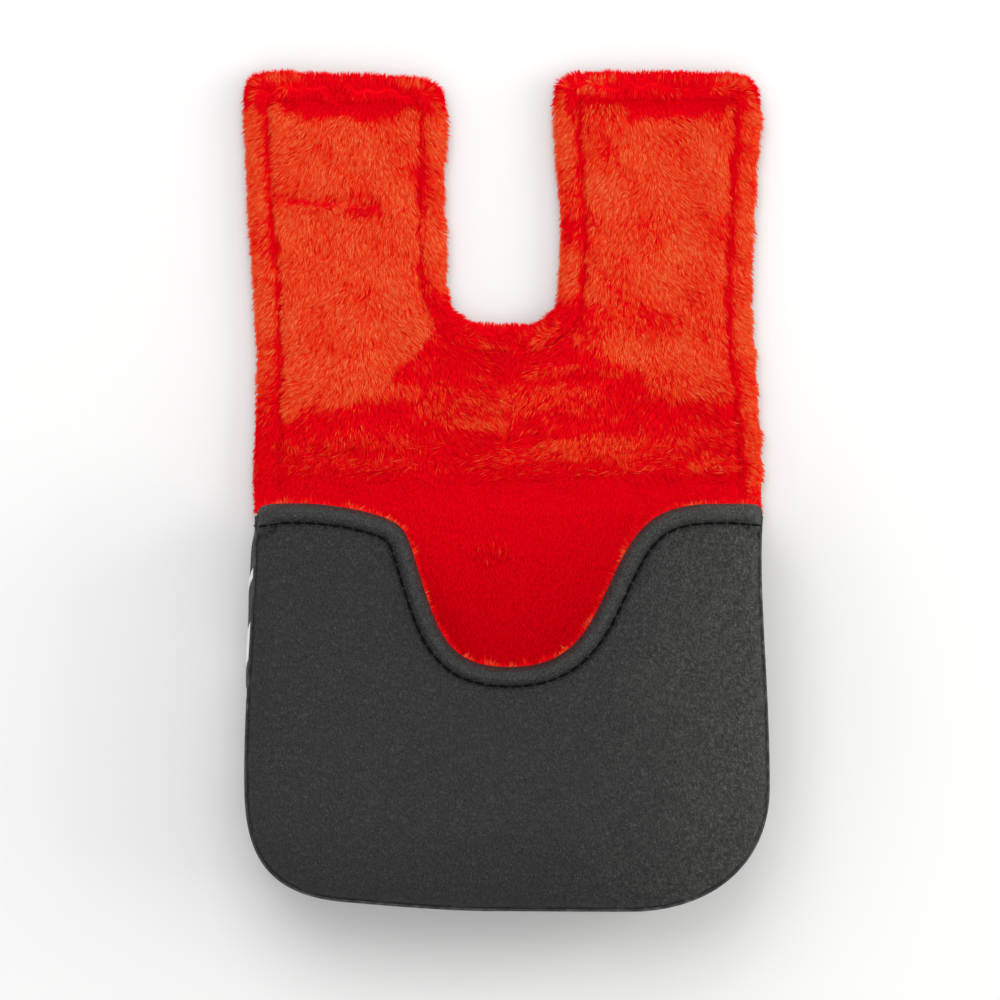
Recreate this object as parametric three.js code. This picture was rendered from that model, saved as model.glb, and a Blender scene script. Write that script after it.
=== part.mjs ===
// A mallet putter's head cover, lying open on its back.
//
// A padded pouch takes the head. Its front panel has a scooped mouth that clears the shaft. A flap runs on
// from the back panel, folds over the mouth, and ends in two legs that pass either side of the shaft and hold
// to the front panel by hidden magnets. Each wall is a synthetic leather shell, a foam and a plush lining.
//
// Millimetres, +Z up. X runs across the cover, and +Y from the pouch's bottom to the legs' tips. The shapes
// are drawn with the pouch's mouth at y = 0, and the whole is then centred on its own length.
import * as THREE from "three";

// Layers of a wall, from the outside in, with the gap that keeps neighbouring solids apart.
const SHELL = 1.2;
const FOAM = 2;
const LINING = 3;
const THREAD = 0.3; // radius
const GAP = 0.3;
const FOAM_AT = SHELL + GAP;
const LINING_AT = FOAM_AT + FOAM + GAP;
const WALL = LINING_AT + LINING;
const STITCH_AT = WALL + GAP + THREAD; // middle of a thread that lies on the lining

// The pouch.
const POUCH_LENGTH = 100;
const POUCH_DEPTH = 37;
const POUCH_HALF = 64.5; // half its greatest width, low on its sides
const MOUTH_HALF = 62.6; // half its width at the mouth
const BULGE_AT = 0.4; // share of its length where the curve from mouth to widest place turns most
const POUCH_CORNER = 26;
const HEM = 3; // the shell is turned in by this much around the mouth, so foam and lining stop short

// The scoop in the front panel's mouth, as half a profile: a rounded lip, a sloping side and a round bottom.
const SCOOP_DEPTH = 40.5;
const LIP_START = 50; // where the level edge begins to dip
const LIP_REACH = 17; // how far the lip stays nearly level
const SIDE_X = 26.5;
const SIDE_DEPTH = 14.5; // the point halfway down the scoop's side
const SIDE_LEAN = 0.38; // sideways run per unit of depth there
const LIP_PULL = 8.5;
const SIDE_PULL = 12.5;
const BOTTOM_PULL = 13.5;

// The flap and its two legs.
const FLAP_LENGTH = 106.5;
const FLAP_BASE_HALF = 62.5;
const FLAP_WAIST_HALF = 61.8;
const WAIST_Y = 48;
const FLAP_TIP_HALF = 64.2;
const NOTCH_HALF = 15.4;
const NOTCH_TIP_HALF = 13.8;
const NOTCH_BOTTOM = 43.3;
const NOTCH_CORNER = 6.5;
const LEG_CORNER = 5;
const TIGHT_CORNER = 1; // the least a corner keeps when its outline is inset

// The folds. Both axes run along X in the shell, which doesn't stretch, so the lining needs room to turn past
// them. Closed, the bridge stands in front of the mouth and the legs lie over the front panel, and each keeps
// room for its pile.
const FOLD_Z = SHELL;
const MOUTH_ROOM = 2;
const PANEL_ROOM = 3.6;
const FLAP_FOLD_Y = MOUTH_ROOM + WALL - FOLD_Z;
const LEG_FOLD_Y = FLAP_FOLD_Y + POUCH_DEPTH + PANEL_ROOM + WALL - 2 * FOLD_Z;
const FOLD_SLIT = 0.2; // half the slit between two shells
const FOLD_ROOM = STITCH_AT + THREAD - FOLD_Z + 2 * FOLD_SLIT;

// Stitching and magnets.
const HEM_STITCH = 5; // from the mouth's edge
const EDGE_STITCH = 6; // from the flap's edge
const SEAM_INSET = 2.1;
const SEAM_HEIGHT = 2.4;
const MAGNET_RADIUS = 9;
const MAGNET_X = 39.5;
const LEG_MAGNET_Y = 90;
const POUCH_MAGNET_Y = FLAP_FOLD_Y - (LEG_MAGNET_Y - LEG_FOLD_Y); // where the closed leg's magnet lands

// Facets: of a quarter turn or a curve, of a thread's half turn, along a thread, and round a magnet.
const CURVE_STEPS = 8;
const THREAD_FACETS = 3;
const THREAD_STEP = 5;
const MAGNET_FACETS = 24;
const SIDES = { left: -1, right: 1 };

const leather = new THREE.MeshStandardMaterial({ color: 0x3a3a3a, roughness: 0.55, metalness: 0 });
const plush = new THREE.MeshStandardMaterial({ color: 0xe01808, roughness: 0.95, metalness: 0 });
const padding = new THREE.MeshStandardMaterial({ color: 0xd8d4c8, roughness: 0.9, metalness: 0 });
const thread = new THREE.MeshStandardMaterial({ color: 0x141414, roughness: 0.7, metalness: 0 });
const nickel = new THREE.MeshStandardMaterial({ color: 0xb8b8bc, roughness: 0.3, metalness: 1 });

const cover = new THREE.Group();
cover.position.y = (POUCH_LENGTH - FLAP_LENGTH) / 2;

function add(name, geometry, material, z = 0) {
  const mesh = new THREE.Mesh(geometry, material);
  mesh.name = name;
  mesh.position.z = z;
  cover.add(mesh);
}

// A sheet of the given outline, standing from z up by its thickness.
function addSheet(name, outline, thickness, material, z) {
  const settings = { depth: thickness, bevelEnabled: false, curveSegments: CURVE_STEPS };
  add(name, new THREE.ExtrudeGeometry(outline, settings), material, z);
}

// A round thread along a curve.
function addThread(name, points) {
  const section = new THREE.Shape();
  section.absarc(0, 0, THREAD, 0, 2 * Math.PI);
  const extrudePath = new THREE.CatmullRomCurve3(points, false, "centripetal");
  const steps = Math.ceil(extrudePath.getLength() / THREAD_STEP);
  add(name, new THREE.ExtrudeGeometry(section, { steps, extrudePath, curveSegments: THREAD_FACETS }), thread);
}

// The pouch's sides and bottom, inset from its outline, from the left of the mouth round to the right.
function pouchSides(inset, top) {
  const mouth = MOUTH_HALF - inset;
  const wide = POUCH_HALF - inset;
  const radius = POUCH_CORNER - inset;
  const bottom = -POUCH_LENGTH + inset;
  const path = new THREE.Path();
  path.moveTo(-mouth, top);
  path.quadraticCurveTo(-wide, -POUCH_LENGTH * BULGE_AT, -wide, bottom + radius);
  path.absarc(-wide + radius, bottom + radius, radius, Math.PI, 1.5 * Math.PI);
  path.absarc(wide - radius, bottom + radius, radius, 1.5 * Math.PI, 2 * Math.PI);
  path.quadraticCurveTo(wide, -POUCH_LENGTH * BULGE_AT, mouth, top);
  return path.getPoints(CURVE_STEPS);
}

// A U-shaped band between two insets of the pouch's outline, open at the mouth.
function gussetBand(outer, inner, top) {
  return new THREE.Shape([...pouchSides(outer, top), ...pouchSides(inner, top).reverse()]);
}

// The right half of the scoop's edge, from the lip's start to its lowest point.
function scoopHalf() {
  const side = new THREE.Vector2(SIDE_X, -SIDE_DEPTH);
  const down = new THREE.Vector2(-SIDE_LEAN, -1).normalize();
  const lip = new THREE.CubicBezierCurve(
    new THREE.Vector2(LIP_START, 0),
    new THREE.Vector2(LIP_START - LIP_REACH, 0),
    side.clone().addScaledVector(down, -LIP_PULL),
    side,
  );
  const bowl = new THREE.CubicBezierCurve(
    side,
    side.clone().addScaledVector(down, SIDE_PULL),
    new THREE.Vector2(BOTTOM_PULL, -SCOOP_DEPTH),
    new THREE.Vector2(0, -SCOOP_DEPTH),
  );
  return [...lip.getPoints(CURVE_STEPS), ...bowl.getPoints(CURVE_STEPS).slice(1)];
}

// The mouth's edge from right to left, moved into the panel by an offset, ending at the given half width.
function mouthEdge(offset, half) {
  const right = [new THREE.Vector2(half, 0), ...scoopHalf()];
  const left = right.slice(0, -1).reverse();
  const edge = [...right, ...left.map((p) => new THREE.Vector2(-p.x, p.y))];
  return edge.map((p, i) => {
    const before = edge[Math.max(i - 1, 0)];
    const after = edge[Math.min(i + 1, edge.length - 1)];
    const along = after.clone().sub(before).normalize();
    return new THREE.Vector2(p.x - along.y * offset, p.y + along.x * offset);
  });
}

// The front panel's outline, inset at its sides and moved in from the mouth's edge.
function frontOutline(inset, hem) {
  return new THREE.Shape([...pouchSides(inset, -hem), ...mouthEdge(hem, MOUTH_HALF - inset).slice(1, -1)]);
}

// The flap's half width at a distance from the mouth.
function flapHalf(y) {
  const end = y < WAIST_Y ? FLAP_BASE_HALF : FLAP_TIP_HALF;
  const share = y < WAIST_Y ? 1 - y / WAIST_Y : (y - WAIST_Y) / (FLAP_LENGTH - WAIST_Y);
  return FLAP_WAIST_HALF + (end - FLAP_WAIST_HALF) * share * share;
}

// The flap between the two folds, with the bottom of the notch in its far edge.
function bridgeOutline(from, to, inset) {
  const notch = NOTCH_HALF + inset;
  const bottom = NOTCH_BOTTOM - inset;
  const corner = NOTCH_CORNER + inset;
  const shape = new THREE.Shape();
  shape.moveTo(-flapHalf(from) + inset, from);
  shape.lineTo(flapHalf(from) - inset, from);
  shape.lineTo(flapHalf(to) - inset, to);
  if (to > bottom + corner) shape.lineTo(notch, to);
  if (to > bottom) {
    // The notch's rounded bottom, from wherever its corners cross this piece's far edge.
    const rise = Math.min(to - bottom, corner);
    const angle = Math.acos(1 - rise / corner);
    shape.absarc(notch - corner, bottom + corner, corner, angle - Math.PI / 2, -Math.PI / 2, true);
    shape.absarc(corner - notch, bottom + corner, corner, -Math.PI / 2, -Math.PI / 2 - angle, true);
  }
  if (to > bottom + corner) shape.lineTo(-notch, to);
  shape.lineTo(-flapHalf(to) + inset, to);
  return shape;
}

// One leg from the fold to its rounded tip.
function legOutline(side, from, inset) {
  const inner = NOTCH_HALF + inset;
  const innerTip = NOTCH_TIP_HALF + inset;
  const outer = flapHalf(from) - inset;
  const outerTip = FLAP_TIP_HALF - inset;
  const top = FLAP_LENGTH - inset;
  const corner = Math.max(LEG_CORNER - inset, TIGHT_CORNER);
  const shape = new THREE.Shape();
  shape.moveTo(side * inner, from);
  shape.lineTo(side * outer, from);
  shape.lineTo(side * outerTip, top - corner);
  shape.quadraticCurveTo(side * outerTip, top, side * (outerTip - corner), top);
  shape.lineTo(side * (innerTip + corner), top);
  shape.quadraticCurveTo(side * innerTip, top, side * innerTip, top - corner);
  return shape;
}

// Opens a round seat for a magnet in a foam's outline.
function withMagnetSeat(shape, x, y) {
  const seat = new THREE.Path();
  seat.absarc(x, y, MAGNET_RADIUS + GAP, 0, 2 * Math.PI);
  shape.holes.push(seat);
  return shape;
}

function addMagnet(name, x, y, z) {
  const shape = new THREE.CylinderGeometry(MAGNET_RADIUS, MAGNET_RADIUS, FOAM, MAGNET_FACETS);
  const disc = new THREE.Mesh(shape, nickel);
  disc.name = name;
  disc.rotation.x = Math.PI / 2;
  disc.position.set(x, y, z + FOAM / 2);
  cover.add(disc);
}

function raised(points, z) {
  return points.map((p) => new THREE.Vector3(p.x, p.y, z));
}

function buildBackPanel() {
  const shell = new THREE.Shape([
    ...pouchSides(0, 0),
    new THREE.Vector2(flapHalf(0), FLAP_FOLD_Y - FOLD_SLIT),
    new THREE.Vector2(-flapHalf(0), FLAP_FOLD_Y - FOLD_SLIT),
  ]);
  addSheet("back_panel_shell", shell, SHELL, leather, 0);
  addSheet("back_panel_foam", new THREE.Shape(pouchSides(HEM, 0)), FOAM, padding, FOAM_AT);
  addSheet("back_panel_lining", new THREE.Shape(pouchSides(LINING_AT, 0)), LINING, plush, LINING_AT);
}

function buildGusset() {
  const top = POUCH_DEPTH - FOAM_AT;
  addSheet("gusset_shell", gussetBand(0, SHELL, 0), top - FOAM_AT, leather, FOAM_AT);
  const foam = gussetBand(FOAM_AT, FOAM_AT + FOAM, -HEM);
  addSheet("gusset_foam", foam, POUCH_DEPTH - 2 * LINING_AT, padding, LINING_AT);
  const lining = gussetBand(LINING_AT, WALL, -HEM);
  addSheet("gusset_lining", lining, POUCH_DEPTH - 2 * (WALL + GAP), plush, WALL + GAP);
  const hemX = MOUTH_HALF + GAP + THREAD;
  for (const [name, side] of Object.entries(SIDES)) {
    const ends = [FOAM_AT, top].map((z) => new THREE.Vector3(side * hemX, -HEM_STITCH, z));
    addThread(`gusset_hem_thread_${name}`, ends);
  }
}

function buildFrontPanel() {
  addSheet("front_panel_shell", frontOutline(0, 0), SHELL, leather, POUCH_DEPTH - SHELL);
  const foam = frontOutline(HEM, HEM);
  for (const [name, side] of Object.entries(SIDES)) {
    withMagnetSeat(foam, side * MAGNET_X, POUCH_MAGNET_Y);
    addMagnet(`pouch_magnet_${name}`, side * MAGNET_X, POUCH_MAGNET_Y, POUCH_DEPTH - FOAM_AT - FOAM);
  }
  addSheet("front_panel_foam", foam, FOAM, padding, POUCH_DEPTH - FOAM_AT - FOAM);
  addSheet("front_panel_lining", frontOutline(LINING_AT, HEM), LINING, plush, POUCH_DEPTH - WALL);
  const hem = raised(mouthEdge(HEM_STITCH, MOUTH_HALF - THREAD), POUCH_DEPTH + GAP + THREAD);
  addThread("mouth_hem_thread", hem);
}

// The threads that sew the front and back panels to the gusset, hidden in the turned seams.
function buildSeams() {
  const run = pouchSides(SEAM_INSET, -HEM);
  addThread("back_seam_thread", raised(run, SEAM_HEIGHT));
  addThread("front_seam_thread", raised(run, POUCH_DEPTH - SEAM_HEIGHT));
}

function buildBridge() {
  const shellEnds = [FLAP_FOLD_Y + FOLD_SLIT, LEG_FOLD_Y - FOLD_SLIT];
  const softEnds = [FLAP_FOLD_Y + 2 * FOLD_SLIT, LEG_FOLD_Y - FOLD_ROOM];
  addSheet("flap_bridge_shell", bridgeOutline(...shellEnds, 0), SHELL, leather, 0);
  addSheet("flap_bridge_foam", bridgeOutline(...softEnds, 1), FOAM, padding, FOAM_AT);
  addSheet("flap_bridge_lining", bridgeOutline(...softEnds, 0), LINING, plush, LINING_AT);
  for (const [name, side] of Object.entries(SIDES)) {
    const line = softEnds.map((y) => new THREE.Vector2(side * (flapHalf(y) - EDGE_STITCH), y));
    addThread(`flap_bridge_thread_${name}`, raised(line, STITCH_AT));
  }
}

function buildLeg(name, side) {
  const softStart = LEG_FOLD_Y + 2 * FOLD_SLIT;
  const foam = withMagnetSeat(legOutline(side, softStart, 1), side * MAGNET_X, LEG_MAGNET_Y);
  addSheet(`leg_shell_${name}`, legOutline(side, LEG_FOLD_Y + FOLD_SLIT, 0), SHELL, leather, 0);
  addSheet(`leg_foam_${name}`, foam, FOAM, padding, FOAM_AT);
  addSheet(`leg_lining_${name}`, legOutline(side, softStart, 0), LINING, plush, LINING_AT);
  addMagnet(`leg_magnet_${name}`, side * MAGNET_X, LEG_MAGNET_Y, FOAM_AT);
  const line = legOutline(side, softStart, EDGE_STITCH).getPoints(THREAD_FACETS).slice(1);
  line.push(new THREE.Vector2(side * (NOTCH_HALF + EDGE_STITCH), softStart));
  addThread(`leg_thread_${name}`, raised(line, STITCH_AT));
}

buildBackPanel();
buildGusset();
buildFrontPanel();
buildSeams();
buildBridge();
for (const [name, side] of Object.entries(SIDES)) buildLeg(name, side);

export default cover;
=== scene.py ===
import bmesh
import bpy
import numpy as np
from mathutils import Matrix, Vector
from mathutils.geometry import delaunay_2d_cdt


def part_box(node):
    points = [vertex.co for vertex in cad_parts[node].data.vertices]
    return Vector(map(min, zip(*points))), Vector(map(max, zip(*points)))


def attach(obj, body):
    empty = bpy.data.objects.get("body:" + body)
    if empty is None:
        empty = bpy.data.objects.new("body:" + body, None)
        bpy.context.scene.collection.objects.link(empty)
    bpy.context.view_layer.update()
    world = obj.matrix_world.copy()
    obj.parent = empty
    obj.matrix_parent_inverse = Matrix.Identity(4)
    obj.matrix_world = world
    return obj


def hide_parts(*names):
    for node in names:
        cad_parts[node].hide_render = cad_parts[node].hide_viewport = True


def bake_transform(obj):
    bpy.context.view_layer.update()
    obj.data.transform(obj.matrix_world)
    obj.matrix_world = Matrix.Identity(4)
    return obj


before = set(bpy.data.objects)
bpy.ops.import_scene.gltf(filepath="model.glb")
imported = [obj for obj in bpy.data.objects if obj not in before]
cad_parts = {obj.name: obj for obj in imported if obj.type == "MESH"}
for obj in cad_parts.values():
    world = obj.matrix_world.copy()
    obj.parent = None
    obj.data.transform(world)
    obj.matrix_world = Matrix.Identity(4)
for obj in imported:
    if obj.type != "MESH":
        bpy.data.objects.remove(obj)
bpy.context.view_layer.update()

# An open head cover for a mallet putter, lying on its back: charcoal leather outside and red plush inside.
#
# Shapes are worked out in millimetres, with the pouch's mouth at y = 0, the flap towards +y and z = 0 under
# the cover. make_mesh() turns them into metres in the frame's own place. A "line" is an array of plan
# points, and a height function takes an array of plan points and gives z.

MM = 0.001


def span(node):
    """A CAD node's lowest and highest corners in millimetres."""
    low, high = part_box(node)
    return np.array(low) / MM, np.array(high) / MM


# ------------------------------------------------------------ dimensions, from the frame where it has them
PANEL_LOW, PANEL_HIGH = span("front_panel_shell")
LEG_HIGH = span("leg_shell_left")[1]
MOUTH_Y = PANEL_HIGH[1]
POUCH_LENGTH = MOUTH_Y - PANEL_LOW[1]
POUCH_HALF = PANEL_HIGH[0]
FLAP_LENGTH = LEG_HIGH[1] - MOUTH_Y
SPLIT_Y = 30.0           # where the bridge's cloth is divided between the two folds
SIDES = {"left": -1, "right": 1}
GUSSET_END = {-1: 1.9, 1: 1.8}      # how far inside the mouth's edge the gusset stops, on each side

BACK_TOP = 3.3           # leather and foam of the back and the flap, from z = 0
LINING_BASE = 3.5
FLOOR_TOP = 5.9          # the back lining's cloth, under its pile
FRONT_BASE = 33.4        # leather and foam of the front panel
FRONT_TOP = 37.7
SEAM_TOP = 35.3          # where the gusset meets the front panel
SEAM_LOW = 1.8           # and the back panel
WALL = 3.3               # leather and foam of the gusset
LINING = 2.5

HEM_STITCH = 4.8         # from the mouth's edge
EDGE_STITCH = 6.0        # from the flap's edge
STITCH_PITCH = 3.0
STITCH_SHARE = 0.92      # of the pitch that a stitch spans
PILE_LENGTH = 2.7
PILE_WIDTH = 0.20
PILE_DENSITY = 16.0      # strands on a square millimetre
TUFT = 1.1               # the pile's strands lean together in tufts about this wide

RNG = np.random.default_rng(20)

# The flap's fields are worked out over this box, on a lattice.
FIELD = (-72, -10), (72, FLAP_LENGTH + 6), 0.5


# ---------------------------------------------------------------- lines and fields in plan
def smoothstep(low, high, value):
    """0 up to low and 1 beyond high, with a smooth change between them; low may be the greater."""
    share = np.clip((value - low) / (high - low), 0, 1)
    return share * share * (3 - 2 * share)


def puff(distance, reach):
    """0 at an edge, rising as a quarter circle to 1 at reach."""
    return np.sqrt(1 - (1 - np.clip(distance / reach, 0, 1)) ** 2)


def bump(distance, width):
    """1 at no distance, fading to 0 over about twice the width."""
    return np.exp(-((distance / width) ** 2))


def bezier(*points, steps=24):
    """A cubic curve through four control points, without its last point."""
    a, b, c, d = (np.array(p, float) for p in points)
    t = np.linspace(0, 1, steps, endpoint=False)[:, None]
    return a * (1 - t) ** 3 + 3 * b * t * (1 - t) ** 2 + 3 * c * t * t * (1 - t) + d * t ** 3


def rounded(corners):
    """An open line through corners given as (x, y, radius), with an arc at each corner that has a radius."""
    line = []
    for i, (x, y, radius) in enumerate(corners):
        here = np.array((x, y), float)
        if radius == 0:
            line.append(here)
            continue
        back = np.array(corners[i - 1][:2]) - here
        on = np.array(corners[i + 1][:2]) - here
        back /= np.linalg.norm(back)
        on /= np.linalg.norm(on)
        half = np.arccos(np.clip(back @ on, -1, 1)) / 2
        reach = radius / np.tan(half)
        for t in np.linspace(0, 1, 9):
            line.append(here + back * reach * (1 - t) ** 2 + on * reach * t ** 2)
    return np.array(line)


def read_line(line, at, places=None):
    """The line's values at point numbers that may be fractions, or at distances if its own are given."""
    places = np.arange(len(line)) if places is None else places
    return np.column_stack([np.interp(at, places, column) for column in line.T])


def distances(line):
    """How far along the line each of its points is."""
    return np.concatenate([[0], np.cumsum(np.linalg.norm(np.diff(line, axis=0), axis=1))])


def resample(line, step):
    """The same line with points about step apart."""
    length = distances(line)
    at = np.linspace(0, length[-1], max(2, int(round(length[-1] / step)) + 1))
    return read_line(line, at, length)


def unit(vectors):
    """The vectors at length 1."""
    return vectors / np.linalg.norm(vectors, axis=1)[:, None]


def left_normals(line):
    """The unit direction to the left of the line at each of its points."""
    along = unit(np.gradient(line, axis=0))
    return np.column_stack([-along[:, 1], along[:, 0]])


def nearest(points, line):
    """For each point, its distance to the line."""
    start, step = line[:-1], np.diff(line, axis=0)
    square = np.maximum((step ** 2).sum(1), 1e-9)
    found = np.empty(len(points))
    for i in range(0, len(points), 4000):
        to = points[i:i + 4000, None, :] - start[None]
        share = np.clip((to * step).sum(2) / square, 0, 1)
        found[i:i + 4000] = np.sqrt((((to - share[..., None] * step) ** 2).sum(2)).min(1))
    return found


def inside(points, loop):
    """Whether each point lies in the closed loop."""
    x, y = points[:, 0], points[:, 1]
    within = np.zeros(len(points), bool)
    for (ax, ay), (bx, by) in zip(loop, np.roll(loop, -1, axis=0)):
        crosses = (ay > y) != (by > y)
        if ay != by:
            within ^= crosses & (x < ax + (y - ay) * (bx - ax) / (by - ay))
    return within


def lattice(function, low, high, step):
    """The function worked out on a lattice once, and then read between its points."""
    xs = np.arange(low[0], high[0] + step, step)
    ys = np.arange(low[1], high[1] + step, step)
    grid_x, grid_y = np.meshgrid(xs, ys, indexing="ij")
    values = function(np.column_stack([grid_x.ravel(), grid_y.ravel()])).reshape(grid_x.shape)

    def read(points):
        u = np.clip((points[:, 0] - low[0]) / step, 0, len(xs) - 1.001)
        v = np.clip((points[:, 1] - low[1]) / step, 0, len(ys) - 1.001)
        i, j = u.astype(int), v.astype(int)
        u, v = u - i, v - j
        near = values[i, j] * (1 - v) + values[i, j + 1] * v
        far = values[i + 1, j] * (1 - v) + values[i + 1, j + 1] * v
        return near * (1 - u) + far * u

    return read


def wander(seed, size, waves=14):
    """A smooth random field from about -1 to 1, whose features are about size across."""
    rng = np.random.default_rng(seed)
    angle = rng.uniform(0, 2 * np.pi, waves)
    pace = 2 * np.pi / size * rng.uniform(0.5, 1.3, waves)
    phase = rng.uniform(0, 2 * np.pi, waves)

    def field(points):
        along = points[:, :1] * np.cos(angle) + points[:, 1:2] * np.sin(angle)
        return np.sin(along * pace + phase).sum(1) * np.sqrt(2 / waves) / 1.6

    return field


# ---------------------------------------------------------------- the cover's outlines
def pouch_side():
    """The seam line round the pouch, from the left of the mouth down, round and up to the right of it."""
    half, bottom = POUCH_HALF, -POUCH_LENGTH + 0.2
    low = (-half + 0.3, -70)
    return np.vstack([
        bezier((-half + 2.9, 0), (-half + 2.9, -22), (-half, -48), low, steps=40),
        bezier(low, (-half + 0.5, -87.5), (-half + 6.5, bottom + 3.3), (-38, bottom + 2.1), steps=36),
        bezier((-38, bottom + 2.1), (-30, bottom + 1.4), (-18, bottom + 0.3), (-6, bottom), steps=20),
        bezier((-6, bottom), (4, bottom), (16, bottom - 0.2), (30, bottom - 0.2), steps=16),
        bezier((30, bottom - 0.2), (51.5, bottom - 0.2), (half - 0.3, -87.5), (half - 0.3, -70), steps=40),
        bezier((half - 0.3, -70), (half - 0.3, -42), (half - 3.8, -17), (half - 1.6, 0), steps=40),
        [(half - 1.6, 0)],
    ])


def mouth_edge():
    """The front panel's scooped edge, from the right of the mouth to the left."""
    left_side, left_lean = np.array((-22.0, -16.0)), np.array((0.30, -0.954))
    shoulder, turn = np.array((-26.6, -5.4)), np.array((-0.75, 0.66))
    right_side, right_lean = np.array((26.0, -18.0)), np.array((-0.424, -0.906))
    low = (0.5, -40.2)
    left, right = -POUCH_HALF + 2.9, POUCH_HALF - 1.6
    return np.vstack([
        bezier((right, -2.8), (right, -0.9), (right - 0.4, -0.3), (right - 2.4, -0.1), steps=10),
        bezier((right - 2.4, -0.1), (right - 5, 0.1), (56, 0), (52, 0), steps=8),
        bezier((52, 0), (36.4, 0), right_side - 14.5 * right_lean, right_side),
        bezier(right_side, right_side + 13 * right_lean, (17, low[1]), low),
        bezier(low, (-15, low[1]), left_side + 16.5 * left_lean, left_side),
        bezier(left_side, left_side - 6.5 * left_lean, shoulder - 3 * turn, shoulder, steps=14),
        bezier(shoulder, shoulder + 4 * turn, (-40, -0.3), (-50, 0.1)),
        bezier((-50, 0.1), (-54, 0.1), (left + 5, 0.1), (left + 2.6, -0.2), steps=8),
        bezier((left + 2.6, -0.2), (left + 0.8, -0.5), (left, -1.4), (left, -3.0), steps=10),
        [(left, -3.2)],
    ])


def flap_edge():
    """The flap's edge from the left of the pouch, round both legs and the notch, to the right of it."""
    tip = FLAP_LENGTH + 0.9
    return rounded([
        (-61.9, -8, 0),
        (-62.4, 6, 30),
        (-61.0, 36, 90),
        (-63.6, 78, 120),
        (-64.9, tip, 5.5),
        (-52, tip, 60),
        (-14.4, tip - 1.6, 8),
        (-15.5, 76, 90),
        (-14.0, 44.6, 10.5),
        (13.7, 44.2, 10),
        (14.6, 68, 90),
        (12.5, tip, 7),
        (34, tip + 0.2, 60),
        (64.4, tip - 0.2, 8),
        (61.2, 52, 120),
        (64.6, 8, 40),
        (64.0, -8, 0),
    ])


POUCH_SIDE = pouch_side()
MOUTH_EDGE = mouth_edge()
FLAP_EDGE = flap_edge()
flap_distance = lattice(lambda points: nearest(points, FLAP_EDGE), *FIELD)


def seam_run(step, start=0.0):
    """The seam line where the gusset runs, start further in than its ends."""
    line = resample(POUCH_SIDE, step)
    end = np.where(line[:, 0] < 0, GUSSET_END[-1], GUSSET_END[1])
    return line[line[:, 1] < -end - start]


def inset(line, distance):
    """The line moved to its left, without the points that land nearer to it than that."""
    moved = line + left_normals(line) * distance
    return moved[nearest(moved, line) > abs(distance) * 0.97]


# ---------------------------------------------------------------- the relief and the light of the lining
# Soft ridges in the plush, each as its two ends, its width and its height.
RIDGES = [
    ((-60, 23.5), (-27, 30.5), 5.0, 1.3),
    ((62, 28.5), (38, 31.0), 5.0, 1.3),
    ((-14, 24.5), (22, 25.0), 5.5, 1.3),
    ((12, 14.5), (30, 15.0), 4.0, 0.8),
    ((-54, 15.5), (-22, 17.0), 3.5, 0.6),
    ((6, 32.5), (28, 34.5), 1.6, 0.6),
    ((-54, 76.5), (-32, 75.0), 2.2, -0.9),
    ((17, 68.5), (26, 67.0), 2.0, -0.5),
]
# The low edge of the part of each leg whose pile stands up and is painted bright.
BRIGHT_EDGE = [
    (-62, 19), (-58, 20.4), (-48, 23.4), (-36, 26.2), (-30, 27.4), (-28, 33.2), (-23, 36.9), (-18.5, 43.4),
    (-17, 46), (13, 42), (24, 37.7), (33, 33.7), (36.2, 31.2), (37.2, 28.2), (44, 26.4), (57, 25.7),
    (62, 25.4),
]
# Strokes of painted light and shade: the points of a stroke, its half width, and its painted light or, below
# zero, its painted shade.
STROKES = [
    (((-37, 29.6), (-30, 30.0), (-23, 29.2)), 2.7, 0.60),
    (((-18, 27.2), (-4, 26.0), (8, 26.5), (22, 27.5)), 4.6, 0.38),
    (((-16, 23.0), (-8, 21.2), (0, 20.0)), 2.8, 0.46),
    (((9, 15.5), (20, 15.8), (32, 15.0)), 4.2, 0.48),
    (((34, 17.0), (54, 18.0)), 4.4, 0.32),
    (((47, 10.5), (56, 11.5)), 2.4, 0.44),
    (((-54, 16.8), (-36, 16.8), (-24, 18.0)), 3.4, 0.31),
    (((-50, 11.5), (-20, 12.0)), 2.0, 0.24),
    (((6.5, 32.4), (17.8, 35.2), (29, 33.9)), 1.1, 0.44),
    (((-12.5, 41.8), (-6, 40.2), (2, 39.6), (9, 41.0), (15.5, 44.5)), 1.2, 0.36),
    (((-57, 17.2), (-31, 22.2), (-18.5, 18.9), (-6, 17.2), (3.5, 14.6)), 1.2, -0.4),
    (((3.5, 14.6), (14, 19.0), (26.5, 22.2), (44, 20.9)), 1.4, -0.4),
    (((-54.5, 77.2), (-46.5, 75.9), (-41.5, 76.6)), 1.4, -0.34),
    (((-38, 74.4), (-31, 74.8)), 2.0, -0.30),
    (((-20.9, 96), (-21.2, 70), (-20.2, 46)), 1.6, -0.10),
    (((-46, 104.2), (-30, 103.6)), 3.0, -0.60),
    (((30, 105.4), (48, 105.2)), 1.8, -0.50),
    (((-27, 84.5), (-22, 82.0)), 2.6, -0.30),
    (((16.5, 70.5), (17, 66.5)), 2.2, -0.45),
    (((22, 47.0), (38, 46.0)), 5.0, -0.20),
]
# Where the pile is pressed smooth across the legs' tips, as strokes with their half width.
PRESSED = [
    (((-52, 100.2), (-40, 99.6), (-28, 99.4)), 2.2),
    (((33, 99.8), (52, 100.2)), 2.1),
]
roughly = wander(3, 34)
finely = wander(4, 9)


def relief(points):
    """Soft waves, ridges and dents in the lining, in millimetres."""
    height = 0.35 * roughly(points) + 0.12 * finely(points)
    for start, end, width, size in RIDGES:
        height += size * bump(nearest(points, np.array([start, end], float)), width)
    return height * smoothstep(-4, 10, points[:, 1]) * smoothstep(0, 10, flap_distance(points))


relief_read = lattice(relief, *FIELD)


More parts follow.
